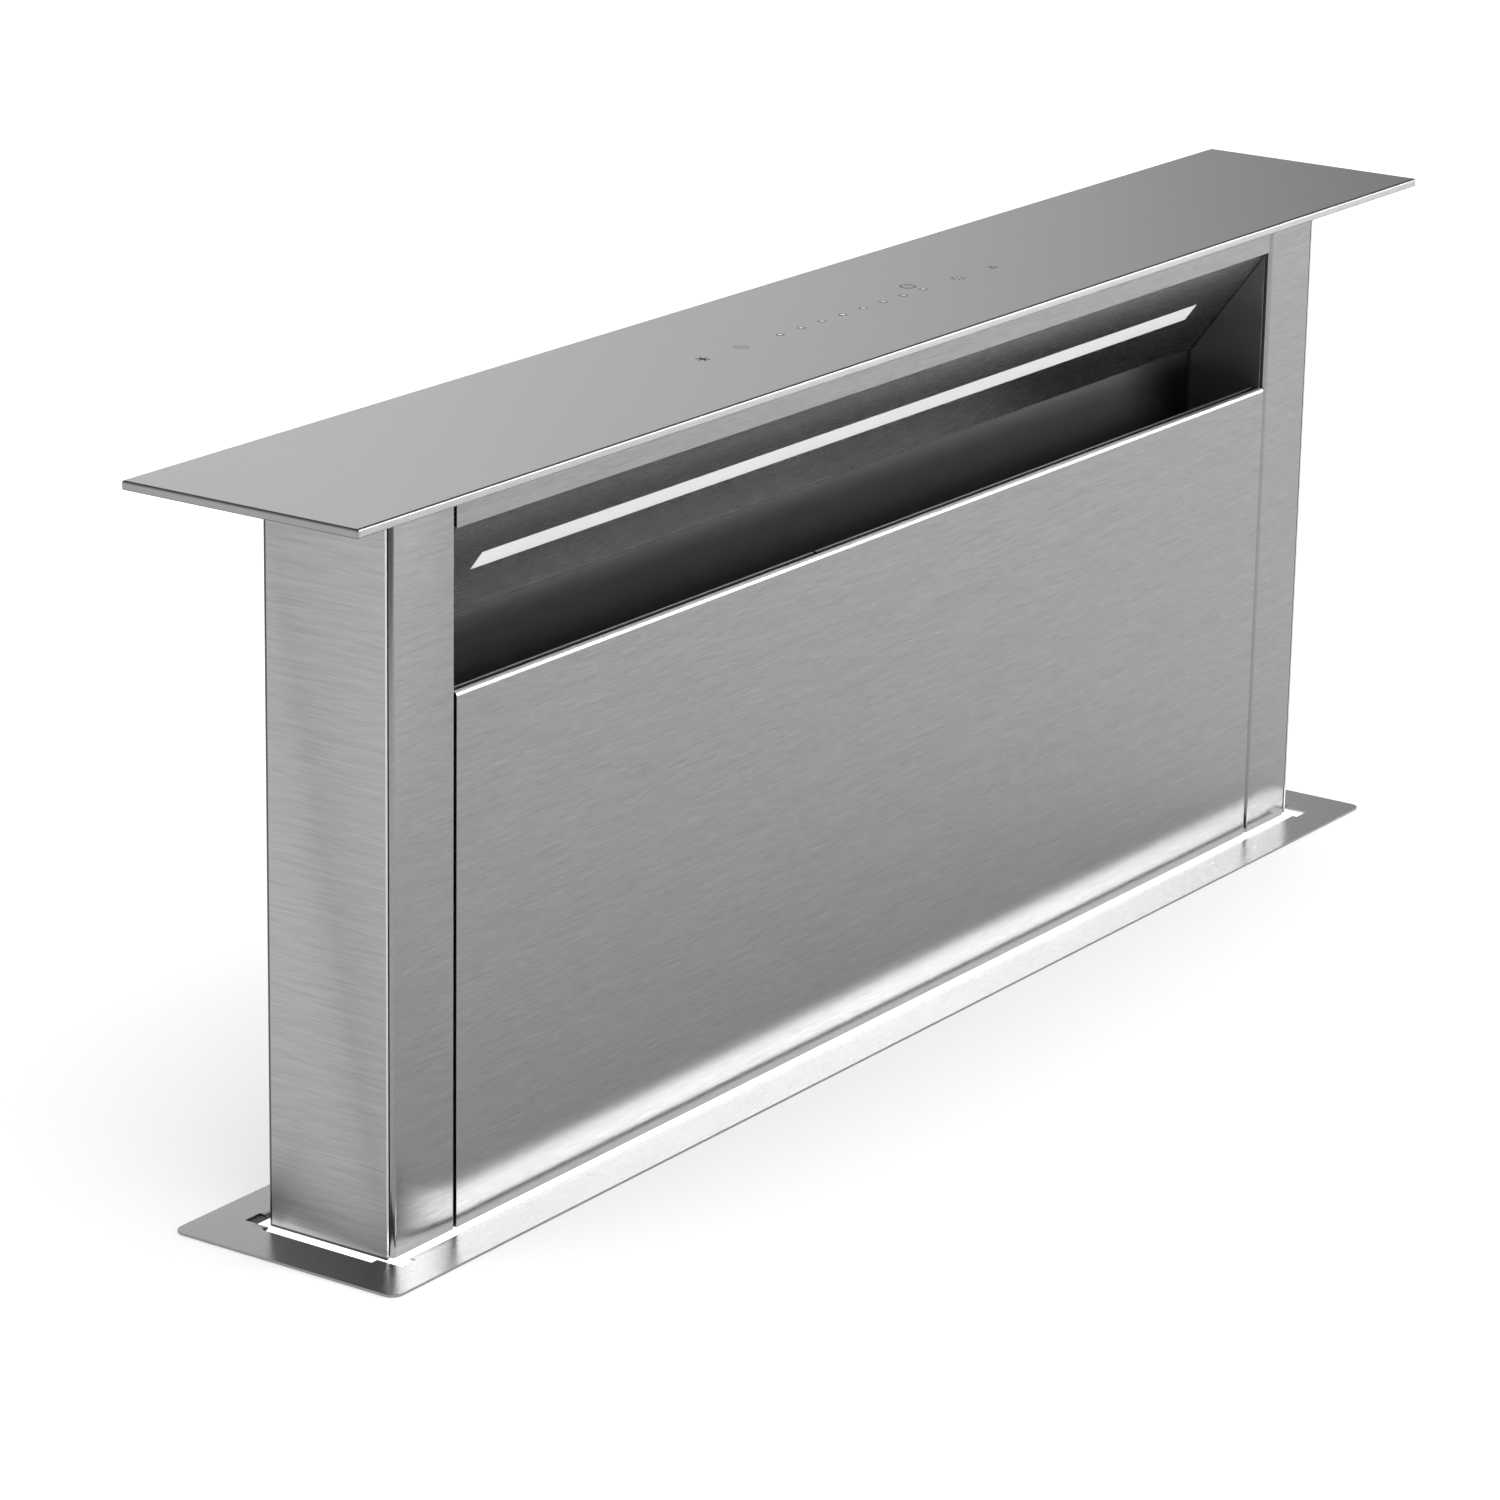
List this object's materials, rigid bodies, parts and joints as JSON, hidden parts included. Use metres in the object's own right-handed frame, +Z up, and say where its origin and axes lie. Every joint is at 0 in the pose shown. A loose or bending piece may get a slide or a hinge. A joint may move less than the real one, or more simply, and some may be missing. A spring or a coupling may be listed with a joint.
{
  "type": "downdraft vent",
  "caption": "Retractable worktop downdraft vent: lift-up tower with lit suction mouth and touch cap, chassis below the worktop with lift screws, blower and round side outlet.",
  "frame": {"origin": "centre of the worktop slot in plan, on the underside of the worktop flange, which is the worktop's top face", "axes": "+Z up, +X to the right of someone facing the suction mouth, +Y away from them"},
  "size_m": [0.88, 0.2842, 0.8986],
  "materials": {
    "brushed_steel": "fine brushed along the length",
    "dark_sheet": "satin, brushed",
    "zinc_sheet": "galvanised sheet with faint spangle",
    "aluminium": "satin extruded or cast",
    "screw_steel": "turned and lightly oiled",
    "motor_enamel": "black satin enamel",
    "black_plastic": "fine moulded grain",
    "grey_plastic": "fine moulded grain",
    "nylon": "natural nylon, slightly waxy",
    "opal_lens": "opal diffuser, satin",
    "circuit_board": "solder mask with components"
  },
  "bodies": {
    "chassis": {"worktop_flange": "brushed_steel", "chassis_front": "zinc_sheet", "chassis_back": "zinc_sheet", "chassis_end_right": "zinc_sheet", "chassis_end_left": "zinc_sheet", "chassis_floor": "zinc_sheet", "worktop_bracket_right": "zinc_sheet", "worktop_bracket_left": "zinc_sheet", "guide_rail_right": "aluminium", "guide_rail_left": "aluminium", "slot_guide_right": "nylon", "slot_guide_left": "nylon", "corner_gearbox_right": "aluminium", "corner_gearbox_left": "aluminium", "lift_gearmotor": "motor_enamel", "scroll_body": "zinc_sheet", "scroll_cover": "zinc_sheet", "fan_motor": "motor_enamel", "duct_adapter": "grey_plastic", "damper_pin": "screw_steel", "electronics_box": "zinc_sheet", "electronics_lid": "zinc_sheet", "control_board": "circuit_board", "cable_gland": "black_plastic"},
    "tower": {"top_cap": "brushed_steel", "cap_backing": "black_plastic", "touch_board": "circuit_board", "side_cover_right": "brushed_steel", "side_cover_left": "brushed_steel", "front_stile_right": "brushed_steel", "front_stile_left": "brushed_steel", "header_strip": "brushed_steel", "rear_panel": "brushed_steel", "mouth_side_right": "dark_sheet", "mouth_side_left": "dark_sheet", "duct_back_wall": "dark_sheet", "light_panel": "dark_sheet", "light_diffuser": "opal_lens", "light_channel": "aluminium", "grease_filter_left": "aluminium", "grease_filter_right": "aluminium", "filter_rest": "dark_sheet", "top_rail": "zinc_sheet", "bottom_rail": "zinc_sheet", "end_frame_right": "zinc_sheet", "end_frame_left": "zinc_sheet", "lift_nut_right": "nylon", "lift_nut_left": "nylon", "guide_shoe_right": "nylon", "guide_shoe_left": "nylon"},
    "front_panel": {"front_panel": "brushed_steel", "inner_skin_left": "zinc_sheet", "inner_skin_right": "zinc_sheet"},
    "lift_screw_right": {"lift_screw_right": "screw_steel"},
    "lift_screw_left": {"lift_screw_left": "screw_steel"},
    "cross_shaft": {"cross_shaft": "screw_steel"},
    "impeller": {"impeller": "zinc_sheet", "motor_shaft": "screw_steel"},
    "damper_flap_rear": {"damper_flap_rear": "aluminium"},
    "damper_flap_front": {"damper_flap_front": "aluminium"}
  },
  "joints": [
    {"name": "tower_lift", "type": "slide", "parent": "chassis", "child": "tower", "axis": [0, 0, 1], "range_m": [-0.3326, 0]},
    {"name": "lift_screw_right_turn", "type": "hinge", "parent": "chassis", "child": "lift_screw_right", "pos_m": [0.3945, 0, -0.27], "axis": [0, 0, 1], "range_deg": [0, 7490]},
    {"name": "lift_screw_left_turn", "type": "hinge", "parent": "chassis", "child": "lift_screw_left", "pos_m": [-0.3945, 0, -0.27], "axis": [0, 0, 1], "range_deg": [0, 7490]},
    {"name": "cross_shaft_turn", "type": "hinge", "parent": "chassis", "child": "cross_shaft", "pos_m": [0, 0, -0.5333], "axis": [1, 0, 0], "range_deg": [0, 7490]},
    {"name": "front_panel_lift", "type": "slide", "parent": "tower", "child": "front_panel", "axis": [0, 0, 1], "range_m": [0, 0.012]},
    {"name": "impeller_spin", "type": "hinge", "parent": "chassis", "child": "impeller", "pos_m": [0.01, -0.1, -0.33], "axis": [0, -1, 0], "continuous": true},
    {"name": "damper_rear_swing", "type": "hinge", "parent": "chassis", "child": "damper_flap_rear", "pos_m": [-0.2123, -0.1303, -0.22425], "axis": [0, 0, 1], "range_deg": [0, 75], "stiffness_Nm_per_rad": 0.02, "springref_deg": -5.73},
    {"name": "damper_front_swing", "type": "hinge", "parent": "chassis", "child": "damper_flap_front", "pos_m": [-0.2123, -0.1303, -0.22425], "axis": [0, 0, -1], "range_deg": [0, 75], "stiffness_Nm_per_rad": 0.02, "springref_deg": -5.73}
  ],
  "couplings": [
    {"joint": "lift_screw_right_turn", "follows": "tower_lift", "rad_per_m": -392.7},
    {"joint": "lift_screw_left_turn", "follows": "tower_lift", "rad_per_m": -392.7},
    {"joint": "cross_shaft_turn", "follows": "tower_lift", "rad_per_m": -392.7}
  ]
}
